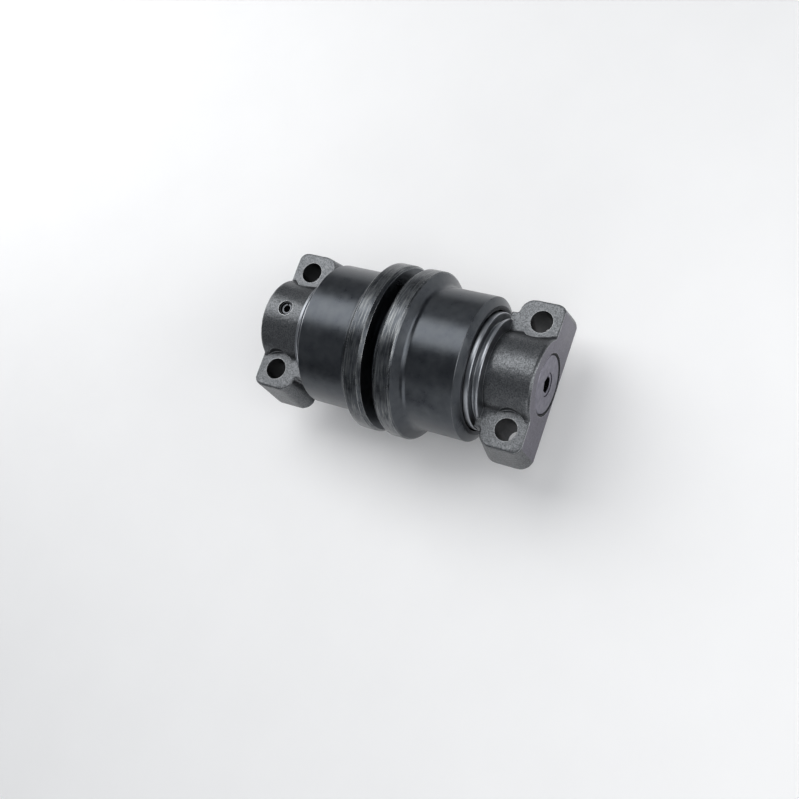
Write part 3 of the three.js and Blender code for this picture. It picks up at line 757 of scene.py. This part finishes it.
def collar(side, cast, hole):
    """A collar: the casting, then turned, milled, bored and drilled as it would be."""
    body = cast.copy()
    body.data = cast.data.copy()
    body.name = f"end_collar_{side}"
    bpy.context.scene.collection.objects.link(body)
    reach = 3 * flange_radius
    mouth = collar_bore + BORE_MOUTH_CHAMFER
    combine(body, block((-reach, collar_end, -reach), (reach, reach, reach), MILLED), "DIFFERENCE")
    milling = block((-reach, RIM_FACE - MILLING_RUN_IN, -reach), (reach, reach, pad_height), MILLED)
    combine(body, milling, "DIFFERENCE")
    combine(body, turned_end(), "UNION")
    bore = turned("cutter", [
        (0, hub_end - OVERCUT, 0),
        (collar_bore, hub_end - OVERCUT, 0),
        (collar_bore, collar_end - BORE_MOUTH_CHAMFER, 0),
        (mouth + OVERCUT, collar_end + OVERCUT, 0),
        (0, collar_end + OVERCUT, 0),
    ], finish_index=DRILLED)
    combine(body, bore, "DIFFERENCE")
    for x in (-BOLT_OFFSET, BOLT_OFFSET):
        seat = [
            (0, seat_height, 0),
            (BOLT_SEAT_RADIUS, seat_height, MILLED_EDGE),
            (BOLT_SEAT_RADIUS, 2 * BARREL_RADIUS, 0),
            (0, 2 * BARREL_RADIUS, 0),
        ]
        drilling = [
            (0, pad_height - OVERCUT, 0),
            (BOLT_HOLE_RADIUS + OVERCUT, pad_height - OVERCUT + MILLED_EDGE, 0),
            (BOLT_HOLE_RADIUS, pad_height + MILLED_EDGE, 0),
            (BOLT_HOLE_RADIUS, seat_height - MILLED_EDGE, 0),
            (BOLT_HOLE_RADIUS + OVERCUT, seat_height - MILLED_EDGE + OVERCUT, 0),
            (0, seat_height + OVERCUT, 0),
        ]
        combine(body, upright(seat, x, bolt_plane, CAST), "DIFFERENCE")
        combine(body, upright(drilling, x, bolt_plane, DRILLED), "DIFFERENCE")
    combine(body, hole, "DIFFERENCE")
    return body


def turn_half_round(piece):
    """Moves a piece made for the right end to the left end."""
    piece.data.transform(Matrix.Rotation(math.pi, 4, "Z"))


def shaft():
    """The shaft, faced at both ends, with the oil plug's hole in the right one."""
    radius = shaft_high.x
    corners = [
        (0, -shaft_high.y, 0),
        (radius - SHAFT_CHAMFER, -shaft_high.y, SHAFT_CHAMFER_ROUNDING),
        (radius, -shaft_high.y + SHAFT_CHAMFER, SHAFT_CHAMFER_ROUNDING),
        (radius, shaft_high.y - SHAFT_CHAMFER, SHAFT_CHAMFER_ROUNDING),
        (radius - SHAFT_CHAMFER, shaft_high.y, SHAFT_CHAMFER_ROUNDING),
        (0, shaft_high.y, 0),
    ]
    piece = turned("roller_axle", corners)
    hole = plug_high.x + FIT_GAP
    plug_hole_floor = plug_low.y - FIT_GAP
    plug_hole = [
        (0, plug_hole_floor, 0),
        (hole, plug_hole_floor, 0),
        (hole, collar_end, 0),
        (0, collar_end, 0),
    ]
    combine(piece, turned("cutter", plug_hole, SMALL_ROUND_STEPS), "DIFFERENCE")
    centre_hole = [
        (0, -shaft_high.y - CENTRE_HOLE_DEPTH, 0),
        (CENTRE_HOLE_CONE, -shaft_high.y - CENTRE_HOLE_DEPTH, 0),
        (0, -shaft_high.y + CENTRE_HOLE_DEPTH, 0),
    ]
    combine(piece, turned("cutter", centre_hole, SMALL_ROUND_STEPS), "DIFFERENCE")
    crisp(piece)
    dress(piece, "ground_shaft_steel", "axle", "shaft", ground_shaft_steel())


def oil_plug():
    """The socket plug that closes the oil hole, with a key socket and a turned edge."""
    edge = TURNED_EDGE
    body = turned("socket_plug", [
        (0, plug_low.y, 0),
        (plug_high.x, plug_low.y, edge),
        (plug_high.x, plug_high.y, edge),
        (0, plug_high.y, 0),
    ], SMALL_ROUND_STEPS)
    corner = PLUG_SOCKET_WIDTH / 2 / math.cos(math.pi / PLUG_SOCKET_SIDES)
    floor = plug_high.y - PLUG_SOCKET_DEPTH
    socket = turned("cutter", [
        (0, floor - PLUG_SOCKET_TIP, 0),
        (corner, floor, 0),
        (corner, plug_high.y - edge, 0),
        (corner + OVERCUT, plug_high.y - edge + OVERCUT, 0),
        (0, plug_high.y - edge + OVERCUT, 0),
    ], PLUG_SOCKET_SIDES)
    socket.data.transform(Matrix.Rotation(math.pi / PLUG_SOCKET_SIDES, 4, "Y"))
    combine(body, socket, "DIFFERENCE")
    crisp(body)
    dress(body, "blackened_steel", "axle", "oil_plug", blackened_plug_steel())


def collar_pin(side, low, high):
    """A hollow spring pin, rolled from strip, with its slot along one side."""
    middle = (low + high) / 2
    radius = (high.x - low.x) / 2
    edge = 0.5 * MM
    pin = upright([
        (radius - PIN_WALL, low.z, edge),
        (radius, low.z, edge),
        (radius, high.z, edge),
        (radius - PIN_WALL, high.z, edge),
    ], middle.x, middle.y)
    pin.name = f"spring_pin_{side}"
    towards = -1 if side == "left" else 1
    slot_middle = middle + Vector((towards * radius, 0, 0))
    slot_half = Vector((radius, PIN_SLOT / 2, (high.z - low.z) / 2 + OVERCUT))
    combine(pin, block(slot_middle - slot_half, slot_middle + slot_half), "DIFFERENCE")
    crisp(pin)
    dress(pin, "spring_steel", "axle", f"collar_pin_{side}", sprung_pin_steel())


def collars():
    """Both collars, cut from the same casting. The left one is the right one turned half round."""
    cast = casting()
    finishes = (shot_blasted_casting(), milled_collar_steel(), turned_collar_steel(), shaded_hole_steel())
    pin = (right_pin_low + right_pin_high) / 2
    for side, outward in (("left", 1), ("right", -1)):
        piece = collar(side, cast, pin_hole(pin.x, pin.y, outward))
        if side == "left":
            turn_half_round(piece)
        crisp(piece)
        dress(piece, "cast_collar_steel", "axle", f"collar_{side}", *finishes)
    bpy.data.objects.remove(cast)


def inner_pieces():
    """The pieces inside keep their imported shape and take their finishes."""
    finishes = {
        "lapped_seal_steel": lapped_seal_steel(),
        "bearing_bronze": bored_bronze(),
        "seal_rubber": moulded_seal_rubber(),
    }
    for subpart in frame["record"]["subparts"]:
        finish = finishes.get(subpart["material_slot"])
        if finish:
            for material_slot in frame["nodes"][subpart["node"]].material_slots:
                material_slot.material = finish


# ---------------------------------------------------------------------------
# Studio
# ---------------------------------------------------------------------------

LENS = 46.13
SENSOR = 36
CAMERA_PLACE = Vector((190.0, 386.5, 787.1)) * MM
CAMERA_TARGET = Vector((41.7, 3.0, -9.2)) * MM
CAMERA_TOP = Vector((-0.9302, -0.2315, 0.2848))
LAMP_DISTANCE = 1.2
FLOOR_HALF = 4
FLOOR_GAP = 0.2 * MM


def aimed(place, target, top):
    """The matrix of a lamp or camera that looks from a place to a target, with its top that way up."""
    back = (place - target).normalized()
    right = top.cross(back).normalized()
    up = back.cross(right)
    turn = Matrix((right, up, back)).transposed().to_4x4()
    return Matrix.Translation(place) @ turn


def camera():
    """A short telephoto view from above the oil plug's end."""
    eye = bpy.data.cameras.new("camera")
    eye.lens = LENS
    eye.sensor_width = SENSOR
    eye.clip_start = 0.01
    eye.clip_end = 20
    holder = bpy.data.objects.new("camera", eye)
    bpy.context.scene.collection.objects.link(holder)
    holder.matrix_world = aimed(CAMERA_PLACE, CAMERA_TARGET, CAMERA_TOP)
    bpy.context.scene.camera = holder


def softbox(name, direction, width, height, strength):
    """A soft rectangular lamp in a direction from the roller, facing it. Strength is its brightness."""
    lamp = bpy.data.lights.new(name, "AREA")
    lamp.shape = "RECTANGLE"
    lamp.size = width
    lamp.size_y = height
    lamp.energy = strength * math.pi * width * height
    holder = bpy.data.objects.new(name, lamp)
    bpy.context.scene.collection.objects.link(holder)
    place = Vector(direction).normalized() * LAMP_DISTANCE
    holder.matrix_world = aimed(place, Vector((0, 0, 0)), Vector((0, 1, 0)))


def floor():
    """A plain pale floor under the flanges."""
    bm = bmesh.new()
    height = shell_low.z - FLOOR_GAP
    corners = ((-1, -1), (1, -1), (1, 1), (-1, 1))
    bm.faces.new([bm.verts.new((x * FLOOR_HALF, y * FLOOR_HALF, height)) for x, y in corners])
    ground = new_piece("floor", bm)
    ground.data.materials.append(painted_floor())


def room_light(strength):
    """Dim even light from all round."""
    world = bpy.data.worlds.new("room")
    world.use_nodes = True
    world.node_tree.nodes["Background"].inputs["Color"].default_value = colour("#c0c6d0")
    world.node_tree.nodes["Background"].inputs["Strength"].default_value = strength
    bpy.context.scene.world = world


roller_shell()
collars()
shaft()
oil_plug()
collar_pin("left", left_pin_low, left_pin_high)
collar_pin("right", right_pin_low, right_pin_high)
inner_pieces()

camera()
floor()
room_light(0.22)
softbox("key", (-0.33, -0.42, 0.84), 0.8, 1.2, 3)
softbox("right_side", (-0.1, 0.9, 0.4), 1, 0.6, 3)
softbox("left_side", (-0.3, -0.95, 0.15), 1, 0.5, 3)
softbox("high_right", (0.2, 0.55, 0.8), 0.8, 0.8, 1.8)
softbox("front_left", (0.6, -0.5, 0.65), 0.8, 0.8, 0.2)
softbox("front", (0.95, 0.1, 0.25), 0.8, 0.8, 1.5)
softbox("back", (-0.85, -0.2, 0.4), 0.7, 0.9, 0.4)
bpy.context.scene.view_settings.view_transform = "Standard"
